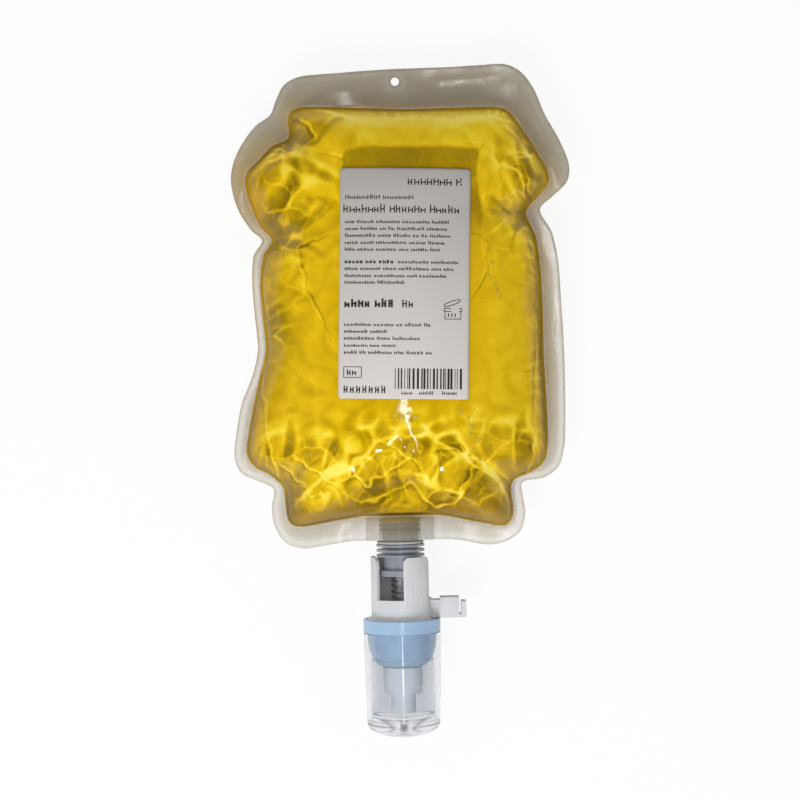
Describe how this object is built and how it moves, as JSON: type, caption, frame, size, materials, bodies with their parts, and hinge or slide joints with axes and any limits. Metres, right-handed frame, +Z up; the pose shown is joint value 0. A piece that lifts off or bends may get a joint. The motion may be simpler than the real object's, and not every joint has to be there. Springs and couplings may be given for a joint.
{
  "type": "hand soap refill pack",
  "caption": "Clear welded film pouch of yellow liquid soap lying on its back, with a blank label, a moulded spout, a spring-return stroke pump with a side drive lug, and a clear transport cap.",
  "frame": {"origin": "on the flat back of the pouch, straight under the pump's axis and about halfway along the pouch", "axes": "+X to the right and +Y from the pump towards the hang hole as the label is read, +Z up, out of the label"},
  "size_m": [0.16, 0.3146, 0.0555],
  "materials": {
    "clear_film": "clear glossy laminate film",
    "yellow_soap": "clear yellow liquid",
    "label_paper": "satin coated paper",
    "translucent_plastic": "natural translucent polyethylene",
    "white_plastic": "satin moulded",
    "blue_plastic": "satin moulded",
    "clear_plastic": "clear polished moulding",
    "soft_seal": "matt",
    "spring_steel": "bright drawn wire"
  },
  "bodies": {
    "pouch": {"front_film": "clear_film", "back_film": "clear_film", "soap_fill": "yellow_soap", "label": "label_paper", "spout": "translucent_plastic", "neck_gasket": "soft_seal", "pump_cylinder": "translucent_plastic", "inlet_ball": "spring_steel", "ball_retainer": "white_plastic", "return_spring": "spring_steel"},
    "actuator": {"piston": "white_plastic", "piston_seal": "soft_seal", "piston_rod": "white_plastic", "drive_sleeve": "white_plastic", "outlet_bell": "blue_plastic", "nozzle": "white_plastic", "outlet_valve": "soft_seal"},
    "cap": {"transport_cap": "clear_plastic"}
  },
  "joints": [
    {"name": "pump_stroke", "type": "slide", "parent": "pouch", "child": "actuator", "axis": [0, 1, 0], "range_m": [0, 0.004], "stiffness_N_per_m": 800, "springref_m": -0.006, "deforming": ["return_spring"]},
    {"name": "cap_pull", "type": "slide", "parent": "actuator", "child": "cap", "axis": [0, -1, 0], "range_m": [0, 0.045]}
  ]
}
